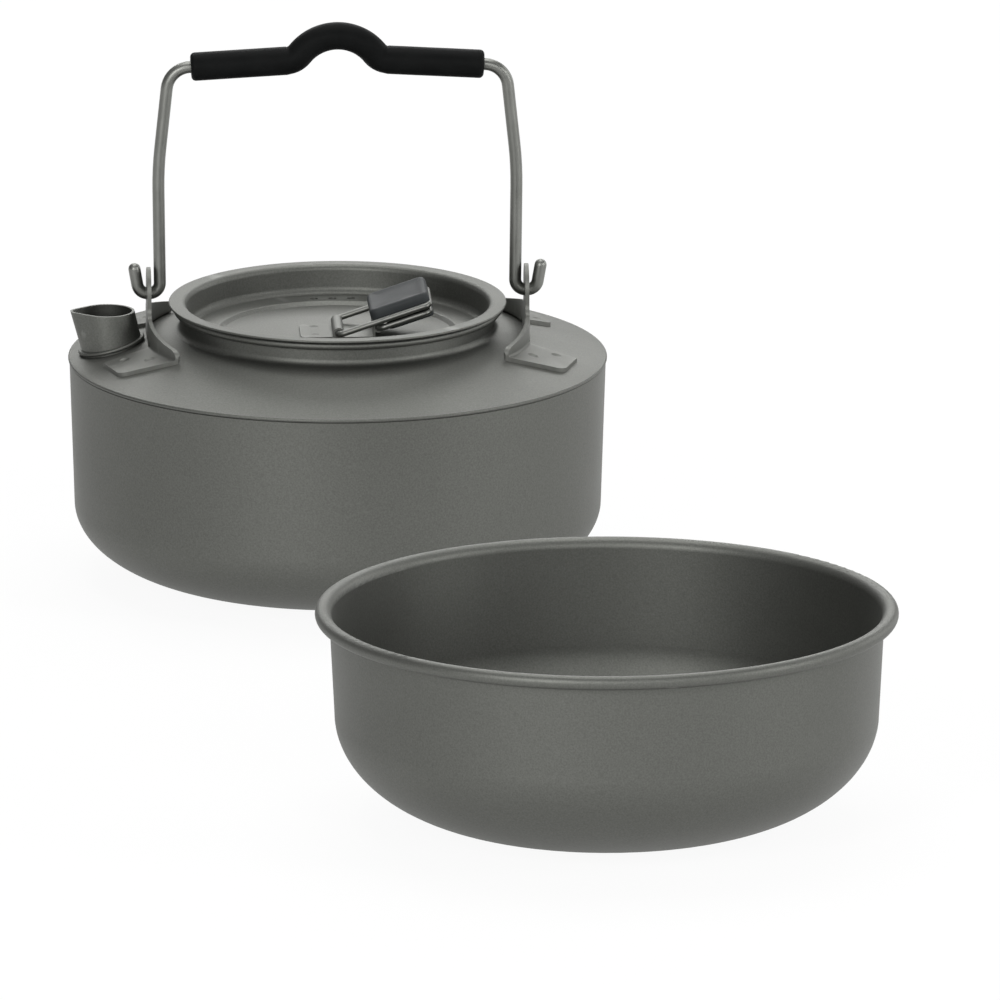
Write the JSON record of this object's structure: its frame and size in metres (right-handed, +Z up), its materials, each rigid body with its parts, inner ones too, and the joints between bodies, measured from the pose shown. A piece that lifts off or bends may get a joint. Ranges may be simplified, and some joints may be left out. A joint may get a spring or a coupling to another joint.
{
  "type": "camp cooking set",
  "caption": "Camp cooking set in thin bead-blasted titanium: a low kettle with a spout, swinging bail and lift-out lid with folding wire loops, and an open rolled-rim bowl.",
  "frame": {"origin": "centre of the kettle's flat base, on the surface that the set stands on", "axes": "+Z up along the kettle's axis; the bail pivots about X and the spout points to -X; the bowl stands in front, towards -Y"},
  "size_m": [0.1925, 0.3843, 0.1397],
  "materials": {
    "titanium_drawn": "bead blasted, matte",
    "titanium_sheet": "bead blasted, matte",
    "titanium_wire": "bead blasted, matte",
    "silicone_black": "matte",
    "silicone_grey": "matte"
  },
  "bodies": {
    "kettle": {"kettle_body": "titanium_drawn", "kettle_shoulder": "titanium_drawn", "spout": "titanium_drawn", "bracket_right": "titanium_sheet", "bracket_left": "titanium_sheet"},
    "bail": {"bail_wire": "titanium_wire", "bail_grip": "silicone_black"},
    "lid": {"lid": "titanium_drawn", "lid_hinge_plate": "titanium_sheet"},
    "long_loop": {"lid_loop_long": "titanium_wire", "lid_pad_long": "silicone_grey"},
    "short_loop": {"lid_loop_short": "titanium_wire", "lid_pad_short": "silicone_grey"},
    "bowl": {"bowl": "titanium_drawn"}
  },
  "joints": [
    {"name": "bail_swing", "type": "hinge", "parent": "kettle", "child": "bail", "pos_m": [0, 0, 0.0713], "axis": [1, 0, 0], "range_deg": [-100, 100]},
    {"name": "lid_lift", "type": "slide", "parent": "kettle", "child": "lid", "axis": [0, 0, 1], "range_m": [0, 0.022]},
    {"name": "long_loop_raise", "type": "hinge", "parent": "lid", "child": "long_loop", "pos_m": [0, 0, 0.06222], "axis": [0, -1, 0], "range_deg": [0, 65]},
    {"name": "short_loop_raise", "type": "hinge", "parent": "lid", "child": "short_loop", "pos_m": [0.00995, 0, 0.06372], "axis": [0, -1, 0], "range_deg": [0, 65]},
    {"name": "bowl_lift", "type": "slide", "parent": "kettle", "child": "bowl", "axis": [0, 0, 1], "range_m": [0, 0.06]}
  ],
  "couplings": [
    {"joint": "short_loop_raise", "follows": "long_loop_raise", "ratio": 1}
  ]
}
